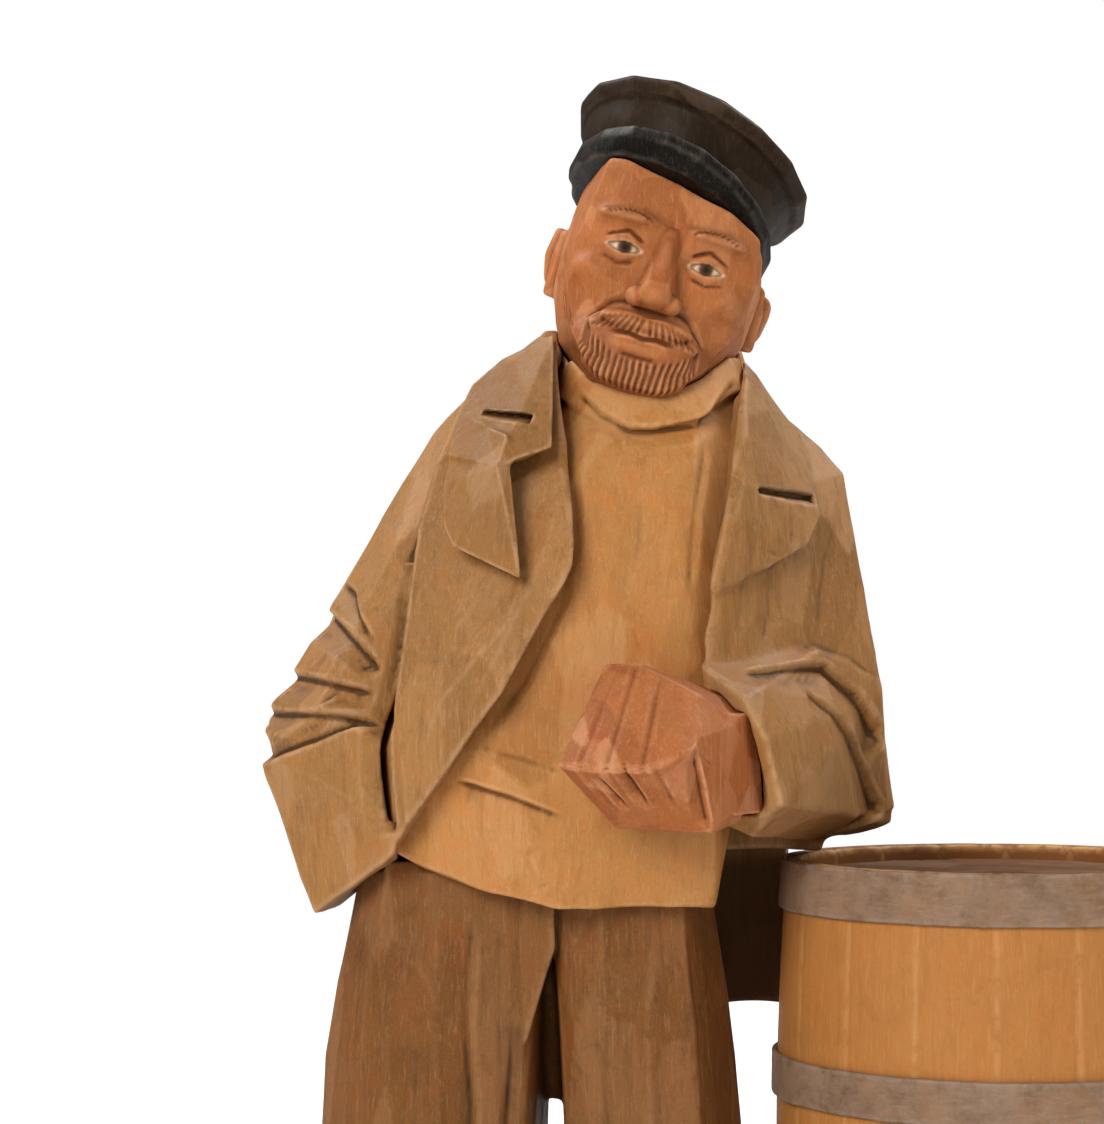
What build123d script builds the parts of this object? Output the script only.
"""Carved wooden figurine: a man in a cap, open jacket and roll-neck sweater, standing beside a keg.

Every piece is limewood cut with flat knife facets and glued up on dowel pegs, on a plinth with a
felt sheet underneath. Millimetres, +Z up, the man looks along -Y, +X is on the viewer's right.
The origin is the middle of the plinth's underside.
"""

import os
from math import cos, pi, radians, sin

from build123d import *

# Driving dimensions
PLINTH_LENGTH = 168.0
PLINTH_DEPTH = 94.0
PLINTH_TOP = 14.0
PLINTH_CHAMFER = 3.0
FELT_THICKNESS = 1.0
FELT_MARGIN = 3.0
SETBACK = 4.0  # the man and the keg stand this far behind their own drawing frame

TROUSER_HEM = 19.0
SOLE_THICKNESS = 3.0
PEG_RADIUS = 2.5
PEG_START = 5.0  # height of the foot and keg pegs' lower ends

HEAD_CENTRE = (-17.9, -2.0, 197.6)
HEAD_ROLL = 16.0  # degrees, top towards +X
CAP_CENTRE = (-13.4, 0.0, 216.3)  # middle of the lower edge of the crown's rim
CAP_ROLL = 29.0
CAP_PITCH = 19.0  # degrees, front up
VISOR_CENTRE = (-15.3, -1.0, 210.8)
VISOR_ROLL = 33.0
VISOR_PITCH = 21.5
VISOR_SWEEP = 97.0  # degrees either side of the front
CAP_FACETS = 16
BAND_LOWER_EDGE = -9.2  # below the crown's rim, along the cap's axis

KEG_CENTRE = (37.7, -8.0)
KEG_HEIGHT = 91.0
KEG_END_RADIUS = 34.6
KEG_BELLY_RADIUS = 36.4
KEG_RIM = 2.6
KEG_RECESS = 2.4
HOOP_THICKNESS = 0.9
END_HOOP_WIDTH = 8.0
BELLY_HOOP_WIDTH = 7.0
BELLY_HOOP_OFFSET = 11.2  # of a belly hoop's middle from the keg's middle
KEG_HEAD_THICKNESS = 2.0


def ring(z, *corners):
    """The corners of a level polygon at height z."""
    return [(x, y, z) for x, y in corners]


def oval(z, rx, ry, count, start=0.0, sweep=2 * pi, x0=0.0, y0=0.0):
    """Points on a level ellipse, or on a stretch of it. Angle 0 is the front, and angles grow towards +X."""
    steps = count if sweep >= 2 * pi else count - 1
    angles = [start + sweep * i / steps for i in range(count)]
    return [(x0 + rx * sin(a), y0 - ry * cos(a), z) for a in angles]


def tilted(points, centre, roll, pitch=0.0):
    """Points drawn upright about their own origin, tipped back by pitch, then rolled, then moved to centre."""
    p, r = radians(pitch), radians(roll)
    placed = []
    for x, y, z in points:
        y, z = y * cos(p) + z * sin(p), z * cos(p) - y * sin(p)
        x, z = x * cos(r) + z * sin(r), z * cos(r) - x * sin(r)
        placed.append((centre[0] + x, centre[1] + y, centre[2] + z))
    return placed


def hull(*groups):
    """A convex block with flat knife facets through the outermost of the points."""
    return ConvexPolyhedron([point for group in groups for point in group])


def minus(block, *cutters):
    """The block with its neighbours' volumes cut away, so that the pieces meet face to face."""
    for cutter in cutters:
        block = block - cutter
    return block


def largest(piece):
    """The main solid of a piece, without the crumbs that a cut leaves behind."""
    return max(piece.solids(), key=lambda solid: solid.volume)


def peg(x, y, low, high, radius=PEG_RADIUS):
    """An upright dowel."""
    return Pos(x, y, low) * Cylinder(radius, high - low, align=(Align.CENTER, Align.CENTER, Align.MIN))


def level_peg(y, z, low, high, radius=PEG_RADIUS):
    """A dowel along X."""
    side = Pos(low, y, z) * Rot(0, 90, 0)
    return side * Cylinder(radius, high - low, align=(Align.CENTER, Align.CENTER, Align.MIN))


# Plinth and felt


def plinth():
    slab = Box(PLINTH_LENGTH, PLINTH_DEPTH, PLINTH_TOP - FELT_THICKNESS,
               align=(Align.CENTER, Align.CENTER, Align.MIN))
    slab = chamfer(slab.edges().group_by(Axis.Z)[-1], PLINTH_CHAMFER)
    slab = chamfer(slab.edges().filter_by(Axis.Z), PLINTH_CHAMFER / 2)
    return Pos(0, -SETBACK, FELT_THICKNESS) * slab


def felt():
    sheet = Box(PLINTH_LENGTH - 2 * FELT_MARGIN, PLINTH_DEPTH - 2 * FELT_MARGIN, FELT_THICKNESS,
                align=(Align.CENTER, Align.CENTER, Align.MIN))
    return Pos(0, -SETBACK, 0) * sheet


# Feet and legs


def shoe(x, side):
    """A blunt shoe with its heel at x. The toes turn out towards side, -1 for the right foot and 1 for the left."""
    outline = [(x + side * u, y) for u, y in
               [(7, -47), (14, -41), (14.5, -22), (11, 8), (6, 15), (-6, 15), (-10, 8), (-10, -22), (-5, -43)]]
    top = PLINTH_TOP + SOLE_THICKNESS
    middle = [(x + side * 3, -16)]
    inset = [(a + (middle[0][0] - a) * 0.08, b + (middle[0][1] - b) * 0.06) for a, b in outline]
    sole = hull(ring(PLINTH_TOP, *outline), ring(top, *outline))
    toe_cap = [(x + side * u, y) for u, y in [(1, -38), (9, -38), (11, -26), (-5, -26)]]
    ankle = [(x + side * u, y) for u, y in [(-5, -18), (9, -18), (8, 10), (-6, 10)]]
    upper = hull(ring(top, *inset), ring(top + 6.5, *toe_cap), ring(top + 12, *ankle))
    return sole + upper


def trousers():
    right = hull(
        ring(TROUSER_HEM, (-73, -15), (-66, -27), (-50, -28), (-41, -20), (-40, 4), (-46, 16), (-62, 18), (-72, 8)),
        ring(45, (-72, -16), (-65, -24), (-52, -26.5), (-40, -18), (-36, 4), (-46, 17), (-62, 18.5), (-71, 8)),
        ring(74, (-71.5, -13), (-66, -22), (-50, -25.5), (-38, -20), (-34.8, 2), (-40, 16), (-62, 19), (-70, 10)),
        ring(104, (-66, -12), (-62, -19), (-48, -23.5), (-37, -22), (-35, 0), (-38, 17), (-58, 18), (-65, 8)))
    left = hull(
        ring(TROUSER_HEM, (-30, -19), (-22, -28), (-8, -27), (-1.5, -14), (-2, 8), (-10, 17), (-24, 16), (-30, 4)),
        ring(45, (-31, -18), (-23, -26.5), (-10, -25), (-3, -14), (-3, 8), (-11, 17), (-25, 16), (-31, 4)),
        ring(74, (-33.5, -18), (-26, -25.5), (-12, -24), (-5.5, -12), (-5.5, 8), (-12, 17), (-28, 16), (-33.5, 0)),
        ring(104, (-35.5, -20), (-28, -24), (-15, -22), (-10, -12), (-10, 8), (-15, 15), (-30, 17), (-36, 0)))
    seat = hull(
        ring(65, (-42, -2), (-29, -2), (-29, 13), (-42, 13)),
        ring(84, (-46, -12), (-26, -12), (-24, 17), (-48, 17)),
        ring(104, (-60, -17), (-14, -16), (-14, 16), (-58, 18)))
    return right + left + seat


# Trunk


def sweater():
    trunk = hull(
        [(-60, -22, 107), (-46, -27.5, 101), (-34, -29.5, 98.5), (-9.7, -25.5, 98.5), (-9.2, -12, 98.5),
         (-9.2, 12, 99), (-34, 19, 98.5), (-58, 15, 104), (-64, -6, 106)],
        ring(123, (-60, -25), (-44, -31), (-24, -33), (-9.5, -28.5), (-5, -12), (-5, 14), (-34, 21), (-62, 14), (-65, -8)),
        ring(150, (-45, -24.5), (-32, -29), (-14, -28), (-4, -20), (4, -4), (2, 14), (-26, 20), (-50, 12), (-54, -6)),
        ring(168, (-38, -17), (-30, -23), (-12, -23), (-4, -16), (4, -2), (2, 12), (-22, 16), (-44, 10), (-44, -6)),
        ring(180, (-31, -13), (-24, -17), (-12, -16), (-6, -11), (-4, 6), (-20, 12), (-34, 6)))
    roll_neck = hull(
        [(-34, -13, 179), (-28, -19, 175), (-20.5, -22, 172.5), (-10, -20, 175.5), (-4, -13, 180),
         (-2, 4, 184), (-10, 12, 185), (-26, 12, 185), (-35.5, 4, 184)],
        [(-32, -12, 186), (-26, -17, 181), (-13, -18, 180.5), (-6, -11, 186), (-4, 4, 191),
         (-11, 11, 192), (-26, 11, 192), (-34, 3, 191)])
    return trunk + roll_neck


def jacket_back():
    body = hull(
        ring(106, (-66, -6), (-66, 13), (-50, 23), (-20, 26), (2, 21), (9, 8), (9, -6)),
        ring(130, (-65, -6), (-64, 13), (-46, 25), (-14, 27), (8, 18), (13, 2), (11, -6)),
        ring(160, (-54, -6), (-52, 12), (-36, 24), (-8, 24), (8, 15), (12, 2), (8, -6)),
        ring(177, (-47, -4), (-44, 9), (-30, 19), (-9, 19), (1, 10), (1, -3)),
        ring(186, (-38, 0), (-36, 10), (-26, 16), (-12, 16), (-5, 9), (-5, 0)))
    tail = hull(
        ring(79, (-62, 14), (-54, 24), (-24, 28), (2, 24.5), (6, 18), (5, 12.5), (-60, 10)),
        ring(110, (-64, 12), (-52, 24), (-20, 27), (2, 23), (5.5, 17), (4.5, 12.5), (-63, 8)))
    return body + tail


def jacket_front_right():
    return hull(
        [(-60, -23, 106), (-57.5, -30, 111), (-59.5, -27, 131), (-57, -23, 156), (-50, -15, 178), (-37, -9, 190)],
        [(-33.5, -26.5, 168), (-31, -33.5, 152.5), (-42.5, -36, 132), (-34, -14, 189)],
        [(-60, 0, 106), (-60, 0, 131), (-56, 0, 156), (-50, 0, 178), (-38, 0, 190)])


def jacket_front_left():
    return hull(
        [(-4.5, -9, 185.5), (-4.3, -17, 176), (-8.5, -27, 160), (-12, -31.5, 146), (-11.5, -31, 112)],
        [(0, -25, 112), (9, -14, 112), (12, -3, 112), (13, -6, 150), (10, -4, 168), (2, -3, 177)],
        [(12, 4, 112), (12, 4, 150), (9, 4, 168), (2, 4, 177), (-4.5, 4, 185)])


def lapel_right():
    collar_end = hull(
        [(-34.7, -15.5, 189.1), (-43.3, -14, 185.1), (-47.8, -15.5, 181), (-49.8, -18, 176.5), (-51.4, -22, 169.4),
         (-43.5, -31.5, 167), (-35, -29.5, 170)],
        [(-36, -10, 189), (-47, -10, 178), (-50, -17, 169.5), (-42, -25, 167), (-35, -24, 171)])
    tongue = hull(
        [(-49.8, -18, 176.5), (-52, -24, 164.4), (-51.9, -27, 157.8), (-50.4, -30, 154.6), (-39.7, -35.5, 149.3),
         (-43.5, -31.5, 167), (-42, -29, 172)],
        [(-49, -15, 175), (-51, -20, 163), (-49, -24, 155), (-41, -30, 150.5), (-42, -26, 168)])
    notch = hull([(-45.3, -40, 176.3), (-37.6, -40, 175), (-37.6, -40, 173.5), (-45.3, -40, 175),
                  (-45.3, -17.5, 176.3), (-37.6, -23.5, 175), (-37.6, -23.5, 173.5), (-45.3, -17.5, 175)])
    return collar_end + tongue - notch


def lapel_left():
    flap = hull(
        [(-4, -5, 186.8), (-4.2, -14, 183), (5.3, -5, 174.8), (8.5, -13.5, 160), (6, -18, 154), (-11.9, -32, 146.4),
         (-8.5, -29.5, 160), (-4.5, -21.5, 173)],
        [(-4, 0, 186), (4, 0, 174), (5, -8, 160), (-8, -24, 148), (-8, -22, 160), (-4, -15, 172)])
    notch = hull([(-3.1, -30, 164), (5.9, -30, 163.4), (5.9, -30, 162), (-3.1, -19, 164),
                  (5.9, -10.5, 163.4), (5.9, -10.5, 162)])
    return flap - notch


def collar():
    """The back of the jacket's collar, standing round the roll neck."""
    return hull(
        ring(177, (-43, -2), (-42, 9), (-30, 19), (-9, 19), (1, 10), (1, -2)),
        [(-37.5, -9, 186), (-36.5, -3, 191.5), (-35, 8, 192), (-26, 15.5, 192.5), (-13, 15.5, 190.5),
         (-4.5, 9, 187.5), (-3.5, -2, 185.5)])


# Arms


def sleeve_right():
    upper = hull(
        [(-45, -8, 184), (-45, 7, 184), (-42, -14, 172), (-42, 14, 172), (-54.5, -5, 174), (-54.5, 7, 174),
         (-50, -17, 160), (-50, 15, 158)],
        [(-82, -5, 127.5), (-81, -12, 123), (-79.5, 8, 124), (-74, -20, 128), (-59, -23, 122),
         (-60, 12, 120), (-75, 12, 122)])
    cuff = hull(
        [(-80, -5, 129), (-77, 9, 126), (-61, 10, 124), (-60, -20, 130), (-72, -21, 130)],
        [(-82, -10, 120.5), (-73, -16, 96), (-69.5, -3, 97), (-59, -28, 107), (-60, -8, 104), (-61, -26, 124)])
    return upper + cuff


def sleeve_left():
    upper = hull(
        [(3, -3, 177.5), (3, 9, 177.5), (9.5, -2, 172), (13, -4, 167.5), (13, 8, 167), (1, -15, 164), (0, 16, 160)],
        [(20.5, -6, 113), (20.5, 6, 114), (17, 14, 118), (2, 17, 118), (4, -18, 132), (18.5, -10, 132)])
    forearm = hull(
        [(20.4, -4, 110.5), (20, 8, 112), (15, 13, 120), (19, -7, 131), (8, -15, 139), (3, 10, 112), (15, -1, 108.4),
         (6, -12, 107.8)],
        [(-5.5, -37, 131.3), (-2.4, -38, 124.8), (0, -37.5, 115), (-4, -29, 109.5), (-9, -27, 112), (-12.5, -32, 136.8)])
    return upper + forearm


def v_cut(points, depth, half_width, reach=3.0):
    """A V-shaped knife cut that runs along points on a surface facing -Y."""
    spread = half_width * (depth + reach) / depth
    cut = None
    for (xa, ya, za), (xb, yb, zb) in zip(points, points[1:]):
        wedge = hull([(xa - spread, ya - reach, za), (xa + spread, ya - reach, za), (xa, ya + depth, za)],
                     [(xb - spread, yb - reach, zb), (xb + spread, yb - reach, zb), (xb, yb + depth, zb)])
        cut = wedge if cut is None else cut + wedge
    return cut


def fist():
    block = hull(
        [(-34.2, -45.5, 121.4), (-31.5, -48.5, 121.1), (-27.4, -50.4, 120.8), (-20.8, -50.9, 120.9), (-16.9, -50, 122.7)],
        [(-26.8, -38, 136.6), (-22.3, -40, 136.8), (-12.9, -42, 132), (-6.7, -37.5, 127.6), (-4.6, -38.5, 118)],
        [(-25.4, -41, 111.7), (-16.5, -42.5, 111.3), (-11, -42.5, 111), (-13, -48, 124), (-6, -30, 112)],
        [(-27, -28, 133), (-31, -30, 120), (-24, -28, 113), (-6, -27, 131)])
    wrist = hull(ring(113.5, (-8, -39), (-7, -28), (-3, -27), (-2, -37)), ring(129, (-9, -39), (-8, -28), (-4, -27), (-5, -36)))
    grooves = [
        [(-25, -39.3, 136.4), (-31.3, -48.3, 121.1), (-23.2, -42.2, 111.6)],
        [(-22.3, -40, 136.5), (-27.2, -50.2, 120.8), (-20.9, -42.5, 111.5)],
        [(-18.6, -41.3, 134.6), (-21.8, -50.8, 120.9), (-16, -42.7, 111.3)],
    ]
    block = block + wrist
    for groove in grooves:
        block = block - v_cut(groove, 0.8, 0.55)
    return block


# Head and cap


def on_head(*groups):
    """A convex block drawn upright about the head's middle, then tilted with the head."""
    return hull(tilted([point for group in groups for point in group], HEAD_CENTRE, HEAD_ROLL))


def in_cap(lift, rx, ry, x0=0.0, y0=0.0):
    """A ring of points round the cap's axis, lift above the lower edge of the crown's rim."""
    return tilted(oval(lift, rx, ry, CAP_FACETS, x0=x0, y0=y0), CAP_CENTRE, CAP_ROLL, CAP_PITCH)


def along_cap(shape):
    """Moves a shape drawn about the origin on to the cap's axis."""
    return Pos(*CAP_CENTRE) * Rot(0, CAP_ROLL, 0) * Rot(-CAP_PITCH, 0, 0) * shape


def head():
    skull = on_head(
        ring(-18.5, (-6, -14.5), (6, -14.5), (7, -8), (-7, -8)),
        ring(-13, (-10, -15.5), (-4, -18), (4, -18), (10, -15.5), (13, -5), (12, 8), (-12, 8), (-13, -5)),
        ring(-5, (-14, -13), (-8, -17.5), (8, -17.5), (14, -13), (16.3, -2), (14, 14), (-14, 14), (-16.3, -2)),
        ring(3, (-15, -13), (-9, -17), (9, -17), (15, -13), (17, 0), (14, 17), (-14, 17), (-17, 0)),
        ring(11, (-13.6, -12), (-7.5, -16.8), (7.5, -17.2), (14.4, -12.6), (15.8, 0), (12, 15), (-12, 15), (-16.4, 0)),
        ring(24, (-12, -14), (12, -14), (14, 0), (9, 12), (-9, 12), (-15, 0)))
    nose = on_head([(-1.8, -16, 5), (1.8, -16, 5), (-4.2, -16.5, -5.2), (4.2, -16.5, -5.2)],
                   [(-2.4, -22.6, -4), (2.4, -22.6, -4), (-1.8, -23.2, -1.6), (1.8, -23.2, -1.6), (0, -21.6, -5.6)])
    beard = on_head([(-10, -17, -7.5), (10, -17, -7.5), (-12, -14, -11), (12, -14, -11), (-3, -20, -7), (3, -20, -7)],
                    [(-9, -18.5, -15), (9, -18.5, -15), (-5, -19.5, -18), (5, -19.5, -18), (-5, -12, -18),
                     (5, -12, -18)])
    neck = on_head(oval(-12, 8.5, 9, 8, y0=2), oval(-25, 9, 9, 8, y0=2))
    block = skull + nose + beard + neck
    ear = [(15.5, -3, 5), (15.5, 4, 6.5), (19, 3.5, 6.5), (19.8, 5, 2), (18.4, 1.5, -5.5), (15, -2, -6), (15, 4, -5)]
    for side in (-1, 1):
        block = block + on_head([(side * x, y, z) for x, y, z in ear])
    above_band = along_cap(Pos(0, 0, BAND_LOWER_EDGE) * Box(80, 80, 60, align=(Align.CENTER, Align.CENTER, Align.MIN)))
    return block - above_band


def cap_band():
    return hull(in_cap(BAND_LOWER_EDGE, 17.3, 18.7, x0=0.8), in_cap(-4.4, 16.8, 17.8, x0=0.4))


def cap_crown():
    return hull(in_cap(-5, 16.8, 17.8, x0=0.4), in_cap(0, 19.5, 20.5), in_cap(4, 21.3, 22.4), in_cap(7.2, 15, 16, y0=-1))


def cap_visor():
    reach = radians(VISOR_SWEEP)
    arc = dict(count=11, start=-reach, sweep=2 * reach)
    lip = tilted(oval(0, 18.7, 23, **arc) + oval(-2.2, 18.5, 22.6, **arc), VISOR_CENTRE, VISOR_ROLL, VISOR_PITCH)
    root = tilted(oval(BAND_LOWER_EDGE, 17.5, 19, x0=0.8, **arc) + oval(-4.8, 16.6, 17.6, x0=0.4, **arc),
                  CAP_CENTRE, CAP_ROLL, CAP_PITCH)
    return hull(lip, root)


# Keg


def keg_radius(z):
    """Radius of the staves at height z above the plinth."""
    share = 2 * z / KEG_HEIGHT - 1
    return KEG_BELLY_RADIUS - (KEG_BELLY_RADIUS - KEG_END_RADIUS) * share * share


def turned(*profile):
    """A solid turned about the keg's axis from (radius, height) corners."""
    return revolve(Plane.XZ * make_face(Polyline(*profile, close=True)), Axis.Z)


def on_keg_axis(shape):
    return Pos(KEG_CENTRE[0], KEG_CENTRE[1], PLINTH_TOP) * shape


def bowed(low, high, offset=0.0, spans=8):
    """Corners up the staves' curve from height low to high."""
    return [(keg_radius(low + (high - low) * i / spans) + offset, low + (high - low) * i / spans)
            for i in range(spans + 1)]


def keg_body():
    mouth = KEG_END_RADIUS - KEG_RIM
    floor = KEG_HEIGHT - KEG_RECESS - KEG_HEAD_THICKNESS
    return turned((0, 0), *bowed(0, KEG_HEIGHT, spans=16), (mouth, KEG_HEIGHT), (mouth, floor), (0, floor))


def keg_head():
    floor = KEG_HEIGHT - KEG_RECESS - KEG_HEAD_THICKNESS
    mouth = KEG_END_RADIUS - KEG_RIM
    return turned((0, floor), (mouth, floor), (mouth, floor + KEG_HEAD_THICKNESS), (0, floor + KEG_HEAD_THICKNESS))


def keg_hoop(low, width):
    inner = bowed(low, low + width, spans=4)
    outer = bowed(low, low + width, HOOP_THICKNESS, spans=4)
    return turned(*inner, *reversed(outer))


def build():
    """All the pieces by node name. Each one is cut back by the pieces that it is glued against."""
    pegs = {
        "foot_peg_right": peg(-56, -4, PEG_START, 40),
        "foot_peg_left": peg(-17, -4, PEG_START, 40),
        "waist_peg": peg(-36, 2, 92, 122, radius=4),
        "neck_peg": peg(-19, -1, 158, 186),
        "arm_peg_right": level_peg(0, 164, -52, -38),
        "arm_peg_left": level_peg(0, 160, -4, 8),
        "keg_peg": peg(*KEG_CENTRE, PEG_START, 34, radius=3),
        "cap_peg": along_cap(Pos(0, 0, -20) * Cylinder(PEG_RADIUS, 21, align=(Align.CENTER, Align.CENTER, Align.MIN))),
    }
    holes = list(pegs.values())
    band, crown, visor = cap_band(), cap_crown(), cap_visor()
    legs, trunk, hand = trousers(), sweater(), fist()
    skull = largest(minus(head(), band, visor))
    trunk_piece = minus(trunk, legs, skull)
    front_right, front_left = jacket_front_right(), jacket_front_left()
    arm_right, arm_left = sleeve_right(), sleeve_left()
    flap_right, flap_left = lapel_right(), lapel_left()
    core = [legs, trunk, skull]
    fronts_right = minus(front_right, *core)
    fronts_left = minus(front_left, *core)
    lapels_right = minus(flap_right, *core, front_right)
    lapels_left = minus(flap_left, *core, front_left)
    hand_piece = minus(hand, trunk, front_left)
    collars = minus(collar(), trunk, skull, front_right, front_left, flap_right, flap_left)
    sleeves_right = minus(arm_right, *core, front_right, flap_right, collars)
    sleeves_left = minus(arm_left, *core, front_left, flap_left, hand, collars)
    backs = minus(jacket_back(), *core, front_right, front_left, arm_right, arm_left, flap_right, flap_left, collars)
    belly = KEG_HEIGHT / 2
    hoop_spans = [(0, END_HOOP_WIDTH), (belly - BELLY_HOOP_OFFSET - BELLY_HOOP_WIDTH / 2, BELLY_HOOP_WIDTH),
                  (belly + BELLY_HOOP_OFFSET - BELLY_HOOP_WIDTH / 2, BELLY_HOOP_WIDTH),
                  (KEG_HEIGHT - END_HOOP_WIDTH, END_HOOP_WIDTH)]
    hoops = {f"keg_hoop_{i}": keg_hoop(low, width) for i, (low, width) in enumerate(hoop_spans, 1)}
    pieces = {
        "trousers": legs,
        "sweater": trunk_piece,
        "head": skull,
        "fist_left": hand_piece,
        "jacket_front_right": fronts_right,
        "jacket_front_left": fronts_left,
        "lapel_right": lapels_right,
        "lapel_left": lapels_left,
        "jacket_collar": collars,
        "jacket_back": backs,
        "sleeve_right": sleeves_right,
        "sleeve_left": sleeves_left,
        "shoe_right": minus(shoe(-57, -1), legs),
        "shoe_left": minus(shoe(-17, 1), legs),
        "cap_band": minus(band, crown),
        "cap_crown": crown,
        "cap_visor": minus(visor, band, crown),
        "keg_body": on_keg_axis(minus(keg_body(), *hoops.values())),
        "keg_head": on_keg_axis(keg_head()),
    }
    pieces.update({name: on_keg_axis(hoop) for name, hoop in hoops.items()})
    pieces = {name: Pos(0, SETBACK, 0) * largest(minus(piece, *holes)) for name, piece in pieces.items()}
    pieces.update({name: Pos(0, SETBACK, 0) * piece for name, piece in pegs.items()})
    base_holes = [Pos(0, SETBACK, 0) * hole for hole in holes]
    pieces["plinth"] = minus(Pos(0, SETBACK, 0) * plinth(), *base_holes)
    pieces["felt_pad"] = Pos(0, SETBACK, 0) * felt()
    return pieces


os.makedirs("parts", exist_ok=True)
for node, piece in build().items():
    export_step(piece, f"parts/{node}.step")
